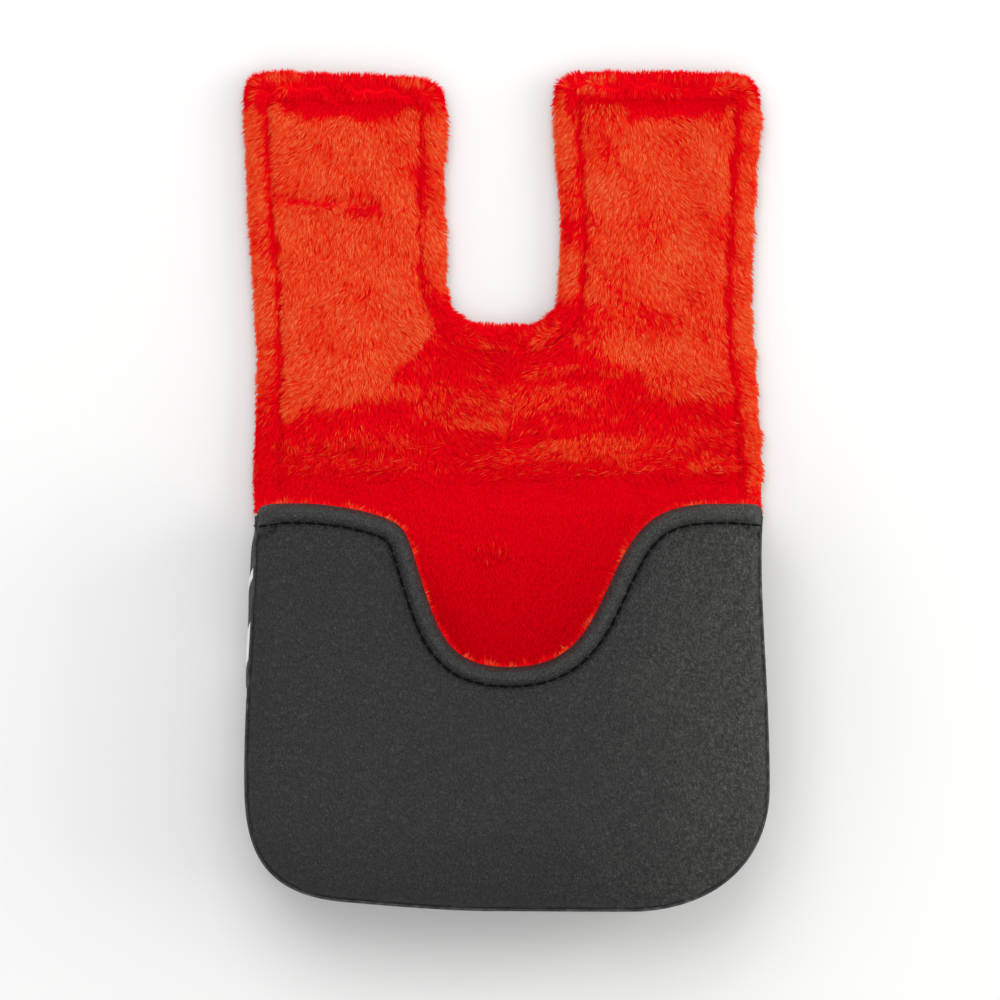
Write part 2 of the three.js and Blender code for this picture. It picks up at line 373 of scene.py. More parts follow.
def flattened(points):
    """1 along the pressed strokes, fading out beside them."""
    flat = np.zeros(len(points))
    for stroke, width in PRESSED:
        away = nearest(points, np.array(stroke, float)) + 0.7 * finely(points)
        flat = np.maximum(flat, smoothstep(width * 1.9, width * 0.3, away))
    return flat


def brightness(points):
    """The pile's painted light: 1 where it stands up with lit tips, 0 where it lies flat or in shade."""
    x, y = points[:, 0], points[:, 1]
    distance = flap_distance(points)
    low = np.interp(x, *zip(*BRIGHT_EDGE)) + 0.7 * finely(points) + 0.6 * finely(points * (2.6, 0.9))
    bright = (0.645 - 0.02 * np.sign(x)) * smoothstep(-3.0, 3.2, y - low)
    in_notch = smoothstep(24, 20, abs(x)) * smoothstep(56, 46, y)
    # Painted light and shade on the borders inside the stitch line: shade across the legs' tips, light along
    # the very edge below them.
    left_border = 0.20 * smoothstep(10, 24, y) + 0.46 * smoothstep(24, 36, y)
    right_border = 0.55 * smoothstep(-3, 8, y) + 0.09 * smoothstep(20, 36, y)
    border = np.where(x < 0, left_border, right_border) * (1 - 0.9 * in_notch)
    border -= 0.60 * smoothstep(3.0, 1.4, distance + 0.5 * finely(points * 1.5)) * smoothstep(98, 102, y)
    border -= 0.55 * bump(distance - 4.6, 1.1) * smoothstep(97, 100, y)
    border += 0.30 * smoothstep(1.4, 0.2, distance) * smoothstep(100, 90, y)
    bright += (border - bright) * smoothstep(EDGE_STITCH - 0.2, EDGE_STITCH - 1.4, distance)
    for stroke, width, change in STROKES:
        away = nearest(points, np.array(stroke, float)) + 0.4 * finely(points)
        mark = change * smoothstep(width * 1.7, width * 0.2, away)
        bright = np.maximum(bright, mark) if change > 0 else bright + mark
    bright += 0.12 * roughly(points * 2.2) * smoothstep(14, 30, y)
    # Painted shade where the pile is pressed flat.
    bright *= 1 - flattened(points)
    # Painted shade along the stitch groove, less beside the left leg's inner edge and in the notch.
    groove = 1.1 - 0.6 * bump((x + 20.5) / 5, 1) * smoothstep(40, 50, y) - 0.9 * in_notch
    bright -= groove * bump(distance - EDGE_STITCH, 0.9)
    streaks = (0.15 + 0.11 * finely(points * (0.7, 1.4))) * smoothstep(5, 10, y) * (1 - flattened(points))
    return np.clip(np.maximum(bright, streaks), 0, 1)


def lining_height(points):
    """The plush cloth under its pile, over the flap and on into the pouch."""
    distance = flap_distance(points)
    roll = 1.4 * np.sin(np.pi * np.clip(distance / EDGE_STITCH, 0, 1)) ** 0.6
    edge = 3.0 + 1.6 * np.clip(distance / EDGE_STITCH, 0, 1) + roll
    field = 1.5 * (1 - np.exp(-np.maximum(distance - EDGE_STITCH, 0) / 1.3))
    open_part = smoothstep(-3, 5, points[:, 1])
    return (edge + field) * open_part + FLOOR_TOP * (1 - open_part) + relief_read(points)


# ---------------------------------------------------------------- meshes
def make_mesh(name, points, triangles, materials, face_material=None, merge=False):
    """A smooth mesh object from points in millimetres."""
    mesh = bpy.data.meshes.new(name)
    placed = (np.asarray(points, float) + (0, MOUTH_Y, 0)) * MM
    faces = np.asarray(triangles, np.int32)
    mesh.vertices.add(len(placed))
    mesh.vertices.foreach_set("co", placed.astype(np.float32).ravel())
    mesh.loops.add(faces.size)
    mesh.loops.foreach_set("vertex_index", faces.ravel())
    mesh.polygons.add(len(faces))
    mesh.polygons.foreach_set("loop_start", np.arange(len(faces), dtype=np.int32) * faces.shape[1])
    for material in materials:
        mesh.materials.append(material)
    if face_material is not None:
        mesh.polygons.foreach_set("material_index", np.asarray(face_material, np.int32))
    mesh.update(calc_edges=True)
    if merge:
        soup = bmesh.new()
        soup.from_mesh(mesh)
        bmesh.ops.remove_doubles(soup, verts=soup.verts, dist=0.01 * MM)
        bmesh.ops.recalc_face_normals(soup, faces=soup.faces)
        soup.to_mesh(mesh)
        soup.free()
    mesh.shade_smooth()
    piece = bpy.data.objects.new(name, mesh)
    bpy.context.scene.collection.objects.link(piece)
    return piece


def fill(loop, edge, rings, step):
    """Plan points and triangles inside the loop, with rows of points that follow the edge at each ring."""
    rows = [loop]
    for ring in rings:
        for side in (1, -1):
            row = inset(resample(edge, step * 0.8), ring * side)
            if len(row):
                rows.append(row[inside(row, loop) & (nearest(row, edge) > ring * 0.9)])
    low, high = loop.min(0), loop.max(0)
    xs = np.arange(low[0], high[0], step)
    ys = np.arange(low[1], high[1], step * 0.866)
    grid = np.array([(x + (j % 2) * step / 2, y) for j, y in enumerate(ys) for x in xs])
    grid = grid[inside(grid, loop)]
    closed = np.vstack([loop, loop[:1]])
    clear = nearest(grid, edge) > (rings[-1] if len(rings) else 0) + step * 0.6
    rows.append(grid[clear & (nearest(grid, closed) > step * 0.6)])
    for i in range(1, len(rows) - 1):
        rows[i] = rows[i][nearest(rows[i], closed) > 0.12]
    points = np.vstack(rows)
    found = delaunay_2d_cdt([Vector(p) for p in points], [], [list(range(len(loop)))], 1, 1e-4)
    flat = np.array([tuple(p) for p in found[0]])
    return flat, np.array([face for face in found[2] if len(face) == 3])


def padded_solid(name, loop, edge, rings, step, top, bottom, material):
    """A closed pad between two height functions over the loop."""
    flat, triangles = fill(loop, edge, rings, step)
    count = len(flat)
    points = np.vstack([np.column_stack([flat, top(flat)]), np.column_stack([flat, bottom(flat)])])
    sides = np.vstack([triangles[:, [0, 1]], triangles[:, [1, 2]], triangles[:, [2, 0]]])
    known = set(map(tuple, sides))
    rim = np.array([(a, b) for a, b in sides if (b, a) not in known])
    walls = np.vstack([
        np.column_stack([rim[:, 0], rim[:, 0] + count, rim[:, 1]]),
        np.column_stack([rim[:, 1], rim[:, 0] + count, rim[:, 1] + count]),
    ])
    faces = np.vstack([triangles, triangles[:, ::-1] + count, walls])
    return make_mesh(name, points, faces, [material], merge=True)


def swept_faces(count, size):
    """The triangles of a closed band of count rows of size points each, with an end over each end row."""
    j = np.arange(size)
    a = (np.arange(count - 1)[:, None] * size + j).ravel()
    b = (np.arange(count - 1)[:, None] * size + (j + 1) % size).ravel()
    first = np.column_stack([np.zeros(size - 2, int), j[1:-1], j[2:]])
    last = first + (count - 1) * size
    return np.vstack([
        np.column_stack([a, b, b + size]),
        np.column_stack([a, b + size, a + size]),
        first[:, ::-1],
        last,
    ])


def swept_solid(name, rows, material):
    """A closed band from rows of section points, one row for each place along it."""
    faces = swept_faces(*rows.shape[:2])
    return make_mesh(name, rows.reshape(-1, 3), faces, [material], merge=True)


def stitch_row(line, up, radius, sink):
    """Points and triangles of separate stitches along a line of 3-D points, with their ends sunk."""
    length = distances(line)
    count = int(length[-1] / STITCH_PITCH)
    shares = np.linspace(-0.5, 0.5, 7) * STITCH_SHARE
    turns = np.linspace(0, 2 * np.pi, 8, endpoint=False)[:, None]
    level = (1 - (abs(shares) / (0.5 * STITCH_SHARE)) ** 3)[:, None]
    faces = swept_faces(len(shares), len(turns))
    points, triangles = [], []
    for i in range(count):
        at = (i + 0.5) * length[-1] / count + shares * STITCH_PITCH
        skew = RNG.uniform(-0.12, 0.12)
        centre = read_line(line, at, length)
        normal = read_line(up, at, length)
        ahead = read_line(line, at + 0.1, length) - centre
        ahead /= np.maximum(np.linalg.norm(ahead, axis=1), 1e-9)[:, None]
        across = np.cross(normal, ahead)
        size = radius * (0.55 + 0.45 * level)
        centre += normal * sink * (level - 0.55) + across * skew * shares[:, None]
        ring = np.cos(turns) * across[:, None] + np.sin(turns) * normal[:, None]
        triangles.append(faces + len(points) * ring.size // 3)
        points.append((centre[:, None] + size[:, None] * ring).reshape(-1, 3))
    return np.vstack(points), np.vstack(triangles)


# ---------------------------------------------------------------- pile
def scatter(low, high, density, rng):
    """Evenly random plan points over a box."""
    step = 1 / np.sqrt(density)
    xs = np.arange(low[0], high[0], step)
    ys = np.arange(low[1], high[1], step)
    grid = np.stack(np.meshgrid(xs, ys, indexing="ij"), -1).reshape(-1, 2)
    return grid + rng.uniform(0, step, grid.shape)


def clumps(points, size, seed):
    """For each point, the offset to the middle of its tuft and two random numbers that its tuft shares."""
    rng = np.random.default_rng(seed)
    table = rng.random((64, 64, 4))
    cell = np.floor(points / size).astype(int)
    best = np.full(len(points), np.inf)
    offset = np.zeros((len(points), 2))
    shared = np.zeros((len(points), 2))
    for i in (-1, 0, 1):
        for j in (-1, 0, 1):
            there = cell + (i, j)
            drawn = table[there[:, 0] % 64, there[:, 1] % 64]
            middle = (there + drawn[:, :2]) * size - points
            square = (middle ** 2).sum(1)
            nearer = square < best
            best[nearer] = square[nearer]
            offset[nearer] = middle[nearer]
            shared[nearer] = drawn[nearer, 2:]
    return offset, shared


def grow_pile(name, roots, place, comb, length, lift, bright, seed, width=PILE_WIDTH):
    """Tapered strands rooted at plan points. place() gives each root's position, two tangents and normal;
    comb is each strand's lie in plan, and lift the angle that it stands up at, in radians."""
    rng = np.random.default_rng(seed)
    count = len(roots)
    base, east, north, up = place(roots)
    offset, shared = clumps(roots, TUFT, seed)
    yaw = rng.normal(0, 0.14, count) + (shared[:, 0] - 0.5) * 0.44
    cos, sin = np.cos(yaw), np.sin(yaw)
    comb = comb / np.maximum(np.linalg.norm(comb, axis=1), 1e-6)[:, None]
    comb = np.column_stack([comb[:, 0] * cos - comb[:, 1] * sin, comb[:, 0] * sin + comb[:, 1] * cos])
    length = length * rng.uniform(0.75, 1.15, count) * (0.9 + 0.2 * shared[:, 1])
    lie = comb[:, :1] * east + comb[:, 1:] * north
    pull = offset[:, :1] * east + offset[:, 1:] * north
    across = np.cross(lie, up)
    roll = rng.normal(0, 0.25, count)
    across = across * np.cos(roll)[:, None] + up * np.sin(roll)[:, None]
    below = rng.random(count)
    steep = (lift + 0.26 * (0.5 - below))[:, None]
    low, high = steep + 0.25, steep - 0.10
    reach = length[:, None] * 0.5
    middle = base + reach * (lie * np.cos(low) + up * np.sin(low)) + 0.12 * pull
    tip = middle + reach * (lie * np.cos(high) + up * np.sin(high)) + 0.20 * pull
    base = base - 0.15 * up
    half = width * 0.5 * rng.uniform(0.75, 1.25, count)[:, None] * across
    points = np.stack([base - half, base + half, middle - half, middle + half, tip], 1).reshape(-1, 3)
    first = np.arange(count)[:, None] * 5
    triangles = np.stack([first + (0, 1, 3), first + (0, 3, 2), first + (2, 3, 4)], 1).reshape(-1, 3)
    # Painted light and shade: upper strands and bright places take lighter shades, rolled and lower strands
    # darker, each strand darker at its root and lighter at its tip.
    catches_light = 0.30 * rng.random(count) + 0.34 * (1 - shared[:, 1]) + 0.36 * below < bright
    tone = 0.42 * bright + 0.44 * catches_light + (0.03 + 0.20 * bright) * rng.normal(0, 1, count)
    tone -= 0.45 * abs(roll) + 0.16 * (below - 0.5)
    steps = np.column_stack([tone - 0.32, tone - 0.12, tone + 0.09]) * (len(SHADES) - 1)
    index = np.clip(np.round(steps), 0, len(SHADES) - 1).astype(int)
    return make_mesh(name, points, triangles, SHADES, index.ravel())


# ---------------------------------------------------------------- materials
def principled(name, colour, roughness, **sockets):
    """A plain material, with any other sockets given by name."""
    material = bpy.data.materials.new(name)
    material.use_nodes = True
    shader = material.node_tree.nodes["Principled BSDF"]
    shader.inputs["Base Color"].default_value = (*colour, 1)
    shader.inputs["Roughness"].default_value = roughness
    for socket, value in sockets.items():
        shader.inputs[socket.replace("_", " ")].default_value = value
    return material


class Nodes:
    """Short calls for building a material's nodes."""

    def __init__(self, material):
        self.tree = material.node_tree
        self.shader = self.tree.nodes["Principled BSDF"]
        self.place = self.add("ShaderNodeTexCoord").outputs["Object"]

    def feed(self, node, inputs):
        """Sets each input to its value, or links it where that is another node's output."""
        for key, value in inputs.items():
            if isinstance(value, bpy.types.NodeSocket):
                self.tree.links.new(value, node.inputs[key])
            else:
                node.inputs[key].default_value = value

    def add(self, kind, inputs=None, **settings):
        node = self.tree.nodes.new(kind)
        for key, value in settings.items():
            setattr(node, key, value)
        self.feed(node, inputs or {})
        return node

    def finish(self, **sockets):
        """Gives the shader its inputs."""
        self.feed(self.shader, {key.replace("_", " "): value for key, value in sockets.items()})

    def noise(self, scale, detail=2.0, roughness=0.5, distortion=0.0, vector=None):
        inputs = {"Scale": scale, "Detail": detail, "Roughness": roughness, "Distortion": distortion}
        return self.add("ShaderNodeTexNoise", {**inputs, "Vector": vector or self.place}).outputs["Fac"]

    def pebbles(self, scale, vector):
        inputs = {"Scale": scale, "Vector": vector}
        return self.add("ShaderNodeTexVoronoi", inputs, feature="SMOOTH_F1").outputs["Distance"]

    def warp(self, scale, amount):
        """The place pushed about by noise."""
        push = self.add("ShaderNodeTexNoise", {"Scale": scale, "Vector": self.place}).outputs["Color"]
        inputs = {0: push, 1: (amount, amount, amount), 2: self.place}
        return self.add("ShaderNodeVectorMath", inputs, operation="MULTIPLY_ADD").outputs["Vector"]

    def turn(self, vector, angle, scale):
        """The vector turned about z by an angle in degrees, and then scaled."""
        inputs = {"Vector": vector, "Rotation": (0, 0, np.radians(angle)), "Scale": scale}
        return self.add("ShaderNodeMapping", inputs).outputs["Vector"]

    def ramp(self, source, *stops):
        """The source from 0 to 1, read as a colour between stops given as (place, colour)."""
        node = self.add("ShaderNodeValToRGB", {"Fac": source})
        while len(node.color_ramp.elements) < len(stops):
            node.color_ramp.elements.new(0.5)
        for element, (at, colour) in zip(node.color_ramp.elements, stops):
            element.position = at
            element.color = (*colour, 1)
        return node.outputs["Color"]

    def maths(self, operation, a, b):
        return self.add("ShaderNodeMath", {0: a, 1: b}, operation=operation).outputs["Value"]

    def creases(self, source):
        """0 along the lines where the source crosses its middle, and more away from them."""
        return self.maths("ABSOLUTE", self.maths("SUBTRACT", source, 0.5), 0.0)

    def mix(self, share, a, colour):
        inputs = {"Factor": share, "A": a, "B": (*colour, 1)}
        return self.add("ShaderNodeMix", inputs, data_type="RGBA").outputs["Result"]

    def relief(self, height, strength, distance, below=None):
        """The normal bent by a height, over the relief below it."""
        node = self.add("ShaderNodeBump", {"Strength": strength, "Distance": distance, "Height": height})
        if below is not None:
            self.feed(node, {"Normal": below})
        return node.outputs["Normal"]


def leather(name, shine, crest_glint, light=1.0):
    """Charcoal synthetic leather: a fine slanting grain, crinkles and creases, and painted light on the
    right.
    """
    material = principled(name, (0.02, 0.02, 0.02), 0.55, Specular_IOR_Level=shine)
    nodes = Nodes(material)
    warp = nodes.warp(240, 0.0014)
    slant = nodes.turn(warp, 52, (1.0, 0.55, 1.0))

    # The tone: mottled, with painted shade near the pouch's bottom, painted light towards the right side,
    # and painted highlights on the crests.
    drift = nodes.noise(30, 3, 0.55)
    mottle = nodes.maths("MULTIPLY", nodes.noise(300, 5, 0.7), 0.6)
    tone = nodes.ramp(
        nodes.maths("ADD", mottle, nodes.maths("MULTIPLY", drift, 0.4)),
        (0.38, (0.0205 * light, 0.0217 * light, 0.0220 * light)),
        (0.50, (0.0221 * light, 0.0228 * light, 0.0229 * light)),
        (0.62, (0.0240 * light, 0.0240 * light, 0.0236 * light)),
    )
    # Painted shade near the pouch's bottom, where the panel curves away from the light.
    parts = nodes.add("ShaderNodeSeparateXYZ", {"Vector": nodes.place})
    down = nodes.maths("MULTIPLY", parts.outputs["Y"], -1.0)
    low = nodes.ramp(down, (0.082, (0, 0, 0)), (0.099, (0.95,) * 3))
    tone = nodes.mix(low, tone, (0.009, 0.009, 0.0095))
    # Painted light towards the right edge, where the side lamp rakes across the panel.
    reach = nodes.maths("ADD", parts.outputs["X"], nodes.maths("MULTIPLY", drift, 0.030))
    painted_right_light = nodes.ramp(reach, (0.044, (0, 0, 0)), (0.080, (0.75, 0.75, 0.75)))
    tone = nodes.mix(painted_right_light, tone, (0.041, 0.040, 0.036))
    # Painted highlights on the grain's crests, stronger towards the right.
    crests = nodes.creases(nodes.noise(820, 3, 0.6, 0.8, slant))
    crests = nodes.ramp(crests, (0.0, (1, 1, 1)), (0.06, (0, 0, 0)))
    amount = nodes.ramp(reach, (0.030, (0.10 * crest_glint,) * 3), (0.078, (crest_glint,) * 3))
    tone = nodes.mix(nodes.maths("MULTIPLY", crests, amount), tone, (0.125, 0.123, 0.110))
    rough = nodes.ramp(nodes.noise(120, 4, 0.6), (0.3, (0.33,) * 3), (0.7, (0.46,) * 3))

    # The relief, from the broad wrinkles to the grain.
    wrinkles = nodes.creases(nodes.noise(260, 5, 0.62, 1.4))
    wrinkles = nodes.maths("POWER", nodes.maths("MULTIPLY", wrinkles, 2.5), 0.45)
    fine_lines = nodes.creases(nodes.noise(900, 3, 0.6, 0.8, warp))
    fine_lines = nodes.maths("POWER", nodes.maths("MULTIPLY", fine_lines, 3.0), 0.5)
    creases = nodes.maths("POWER", nodes.maths("SUBTRACT", 1.0, nodes.creases(drift)), 90.0)
    normal = nodes.relief(wrinkles, 0.5, 0.0006)
    normal = nodes.relief(fine_lines, 1.0, 0.0006, normal)
    normal = nodes.relief(creases, 0.25, 0.0004, normal)
    normal = nodes.relief(nodes.pebbles(1500, warp), 0.35, 0.0003, normal)
    normal = nodes.relief(nodes.noise(2100, 2, 0.55, vector=slant), 1.0, 0.0008, normal)
    nodes.finish(Base_Color=tone, Roughness=rough, Normal=normal)
    return material


def seam_highlight_leather():
    """The turned edge of a seam, painted lighter than the panels as a highlight along the edge."""
    # Painted highlight: a tone well above the panels' leather along the seam's turned edge.
    material = principled("painted_seam_highlight", (0.05, 0.05, 0.048), 0.6, Specular_IOR_Level=0.3)
    nodes = Nodes(material)
    highlight_mottle = nodes.noise(420, 4, 0.65)
    tone = nodes.ramp(highlight_mottle, (0.38, (0.02,) * 3), (0.55, (0.05,) * 3), (0.70, (0.11,) * 3))
    nodes.finish(Base_Color=tone, Normal=nodes.relief(nodes.noise(2100, 2, 0.55), 0.6, 0.0002))
    return material


def plush_cloth():
    """The knitted ground under the pile, deep red with a short nap."""
    material = principled("plush_ground", (0.92, 0.002, 0.008), 0.95, Specular_IOR_Level=0.0)
    nodes = Nodes(material)
    nap = nodes.noise(1500, 3, 0.7)
    drift = nodes.noise(90, 3, 0.5)
    blend = nodes.maths("ADD", nodes.maths("MULTIPLY", nap, 0.65), nodes.maths("MULTIPLY", drift, 0.35))
    tone = nodes.ramp(
        blend, (0.3, (0.88, 0.0, 0.008)), (0.5, (0.92, 0.002, 0.008)), (0.72, (0.96, 0.010, 0.010))
    )
    nodes.finish(Base_Color=tone, Normal=nodes.relief(nap, 0.4, 0.0004))
    return material


def pile_shades():
    """Painted light in the pile's strands: deep red shade on pressed pile, orange highlights on raised tips,
    a red glow.
    """
    tones = [
        (0.91, 0.000, 0.0090),
        (0.93, 0.003, 0.0080),
        (0.95, 0.014, 0.0080),
        (0.96, 0.032, 0.0100),
        (0.98, 0.058, 0.0125),
        (0.99, 0.105, 0.0240),
        (1.00, 0.200, 0.0600),
    ]
    sockets = {"Specular_IOR_Level": 0.0, "Emission_Color": (1.0, 0.0, 0.008, 1.0)}
    shades = []
    for i, (red, green, blue) in enumerate(tones):
        through = 0.20 * min(1.0, green / 0.06)     # painted glow standing in for light through the fibres
        colour = (red - 1.55 * through, green, blue)
        shades.append(principled(f"pile_{i}", colour, 0.9, Emission_Strength=through, **sockets))
    return shades


def thread(name, colour):
    """Twisted sewing thread."""
    material = principled(name, colour, 0.8, Specular_IOR_Level=0.1)
    nodes = Nodes(material)
    nodes.finish(Normal=nodes.relief(nodes.noise(3800, 2, 0.6, 0.6), 0.6, 0.0001))
    return material


def white_print():
    """The bars' print, with faint flecks."""
    material = principled("white_print", (0.86, 0.86, 0.85), 0.45)
    nodes = Nodes(material)
    tone = nodes.ramp(nodes.noise(600, 4, 0.6), (0.3, (0.80, 0.80, 0.79)), (0.6, (0.88, 0.88, 0.87)))
    nodes.finish(Base_Color=tone, Normal=nodes.relief(nodes.noise(2600, 3, 0.6), 0.3, 0.0001))
    return material


def nickel():
    """The magnets' plating."""
    material = principled("nickel_plate", (0.62, 0.62, 0.64), 0.3, Metallic=1.0)
    nodes = Nodes(material)
    rough = nodes.ramp(nodes.noise(900, 3, 0.6), (0.3, (0.24,) * 3), (0.7, (0.36,) * 3))
    nodes.finish(Roughness=rough)
    return material


LEATHER = leather("charcoal_leather", 0.46, 0.75)
# A lit copy of the leather, lighter and shinier: painted light on the hem.
HEM_LEATHER = leather("hem_leather", 0.60, 0.75, 1.25)
# A shaded copy of the leather, with little sheen and few painted crest highlights: painted shade on the
# gusset.
SIDE_LEATHER = leather("side_leather", 0.05, 0.12)
SEAM_HIGHLIGHT_LEATHER = seam_highlight_leather()
PLUSH = plush_cloth()
SHADES = pile_shades()
BLACK_THREAD = thread("black_thread", (0.003, 0.003, 0.003))
RED_THREAD = thread("red_thread", (0.78, 0.0, 0.009))
WHITE_PRINT = white_print()
NICKEL = nickel()


# ---------------------------------------------------------------- how the pieces move
def on_pouch(piece):
    """A piece that is fixed to the pouch."""
    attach(piece, "pouch")


def as_pad(piece, slot, fill, *nodes):
    """A soft piece that is shown in place of plain solids."""
    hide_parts(*nodes)


def bend(piece, joint, *bodies):
    """Cloth shared by two bodies across their joint, with its transform baked into its mesh."""
    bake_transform(piece)


def bend_at_mouth(piece):
    """Cloth that crosses the fold between the pouch and the flap's bridge."""
    bend(piece, "flap_fold", "pouch", "flap_bridge")


def bend_at_leg(piece, side):
    """Cloth that crosses the fold between the bridge and a leg."""
    bend(piece, f"leg_fold_{side}", "flap_bridge", f"leg_{side}")


# ---------------------------------------------------------------- the pouch
panel_dome = wander(7, 60)
panel_ripple = wander(8, 17)


def panel_edges(points):
    """Distances to the seam and to the mouth."""
    return nearest(points, POUCH_SIDE), nearest(points, MOUTH_EDGE)


def panel_top(points):
    """The padded front panel, whose mouth has a round turned-in hem with the stitches in a groove."""
    side, mouth = panel_edges(points)
    height = SEAM_TOP + (FRONT_TOP - SEAM_TOP) * puff(side, 6.5)
    height += 0.9 * smoothstep(2, 34, np.minimum(side, mouth + 8))
    height += (0.16 * panel_dome(points) + 0.07 * panel_ripple(points)) * smoothstep(1, 12, side)
    height += 0.85 * np.sin(np.pi * np.clip(mouth / HEM_STITCH, 0, 1))
    height -= 0.75 * bump(mouth - HEM_STITCH, 0.7)
    edge = (FRONT_BASE + FRONT_TOP) / 2
    return np.minimum(height, edge + (height - edge) * puff(mouth, 1.7))


def panel_bottom(points):
    """The underside of its foam."""
    side, mouth = panel_edges(points)
    height = FRONT_BASE + (SEAM_TOP - FRONT_BASE) * (1 - puff(side, 3))
    edge = (FRONT_BASE + FRONT_TOP) / 2
    return height + (edge - height) * (1 - puff(mouth, 1.7))


def panel_loop():
    """The front panel's outline: down the left side, round the bottom, up the right, and along the mouth."""
    on_left = POUCH_SIDE[:, 0] < 0
    sides = POUCH_SIDE[POUCH_SIDE[:, 1] < np.where(on_left, -5.2, -3.2)]
    return np.vstack([resample(sides, 1.2), resample(MOUTH_EDGE, 1.0)])


def build_front_panel():
    """The padded front panel, with the hem in a lighter, shinier copy of the leather as painted light."""
    loop = panel_loop()
    edge = np.vstack([loop, loop[:1]])
    rings = (0.25, 0.7, 1.3, 2.1, 3.1, 3.9, 4.4, 4.8, 5.2, 5.7, 6.6)
    panel = padded_solid("front_panel", loop, edge, rings, 1.6, panel_top, panel_bottom, LEATHER)
    panel.data.materials.append(HEM_LEATHER)
    centres = np.array([face.center for face in panel.data.polygons]) / MM - (0, MOUTH_Y, 0)
    on_hem = nearest(centres[:, :2], MOUTH_EDGE) < HEM_STITCH
    panel.data.polygons.foreach_set("material_index", on_hem.astype(np.int32))
    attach(panel, "pouch")
    as_pad(panel, "leather", 0.5, "front_panel_shell", "front_panel_foam", "front_seam_thread")


def gusset_bulge(points, share):
    """How far the gusset stands out of the seam line, for its share of the height from the back seam."""
    x, y = points[:, 0], points[:, 1]
    pinch = 1 - 0.7 * bump(y + HEM_STITCH, 4.5)
    swell = np.where(x < 0, 0.45 + 0.95 * smoothstep(-62, -22, y), 0.7) + 0.15 * finely(points * 0.8)
    return swell * pinch * np.sin(np.pi * share) ** 0.55


def gusset_surface(line, outward, share, lift=0.0):
    """Points on the gusset's outside, at places round the pouch and shares up its height."""
    out = gusset_bulge(line, share) + lift
    return np.column_stack([line + outward * out[:, None], SEAM_LOW + (SEAM_TOP - SEAM_LOW) * share])


def build_gusset():
    """The bulging padded strip round the sides and the bottom, closed at its two ends."""
    line = seam_run(1.3)
    outward = -left_normals(line)
    shares = np.concatenate([[0, 0.012, 0.035], np.linspace(0.07, 0.93, 22), [0.965, 0.988, 1]])
    inner = [(0.6, 34.0), (2.0, 33.3), (WALL, 32.6), (WALL, 24.0)]
    inner += [(WALL, 13.0), (WALL, 4.4), (2.0, 3.8), (0.6, 3.2)]
    from_end = np.minimum(np.linalg.norm(line - line[0], axis=1), np.linalg.norm(line - line[-1], axis=1))
    closing = 1 - puff(from_end, 1.1)[:, None]
    section = []
    for share in shares:
        points = gusset_surface(line, outward, np.full(len(line), share))
        middle = line - outward * WALL * 0.5 * min(1.0, 12 * min(share, 1 - share))
        points[:, :2] += (middle - points[:, :2]) * closing
        section.append(points)
    for depth, z in inner:
        place = line - outward * depth
        place += (line - outward * WALL * 0.5 - place) * closing * depth / WALL
        section.append(np.column_stack([place, np.full(len(line), z)]))
    gusset = swept_solid("gusset", np.stack(section, 1), SIDE_LEATHER)
    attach(gusset, "pouch")
    as_pad(gusset, "leather", 0.5, "gusset_shell", "gusset_foam", "back_seam_thread")


def build_seam_rolls():
    """The turned edges along the front seam and the back seam, painted a little lighter than the panels as a
    highlight.
    """
    turns = np.linspace(0, 2 * np.pi, 8, endpoint=False)
    for name, z, radius in (("front", SEAM_TOP, 0.42), ("back", SEAM_LOW, 0.40)):
        line = seam_run(1.0, 0.4)
        outward = -left_normals(line)
        out = 0.12 + radius * np.cos(turns)
        plan = line[:, None] + outward[:, None] * out[None, :, None]
        heights = np.tile(z + radius * np.sin(turns), (len(line), 1))
        rows = np.dstack([plan, heights])
        roll = swept_solid(f"{name}_seam_roll", rows, SEAM_HIGHLIGHT_LEATHER)
        on_pouch(roll)


def build_gusset_bars():
    """Plain slanted bars printed on the gusset's left side, as a thin film."""
    step = 0.8
    line = resample(POUCH_SIDE, step)
    outward = -left_normals(line)
    across, slant = np.linspace(0, 1, 7), 9.0
    shares, start_share = np.linspace(0.12, 0.97, 17), 0.8
    points, triangles = [], []
    for start, width in ((17.2, 2.5), (30.5, 9.0), (46.0, 2.2), (56.5, 4.6)):
        triangles.append(swept_faces(len(shares), 2 * len(across)) + sum(map(len, points)))
        for share in shares:
            at = (start + slant * (start_share - share) + width * across) / step
            place, out, level = read_line(line, at), read_line(outward, at), np.full(len(at), share)
            points.append(gusset_surface(place, out, level, 0.10))
            points.append(gusset_surface(place, out, level, -0.25)[::-1])
    bars = make_mesh("gusset_bars", np.vstack(points), np.vstack(triangles), [WHITE_PRINT], merge=True)
    on_pouch(bars)


def build_front_lining():
    """The plush ground inside the front panel."""
    side = inset(resample(POUCH_SIDE, 1.4), WALL + 0.3)
    side = side[side[:, 1] < -5]
    mouth = MOUTH_EDGE + left_normals(MOUTH_EDGE) * 1.0
    mouth = resample(mouth[abs(mouth[:, 0]) < 57.5], 1.4)
    loop = np.vstack([side, mouth])

    def top(points):
        return np.full(len(points), FRONT_BASE - 0.2)

    def bottom(points):
        return FRONT_BASE - 0.2 - LINING * puff(nearest(points, mouth) + 0.4, 2.5) + 0.15 * finely(points)

    front = padded_solid("front_lining", loop, mouth, (0.5, 1.2, 2.2), 2.4, top, bottom, PLUSH)
    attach(front, "pouch")
    as_pad(front, "plush", 0.4, "front_panel_lining")


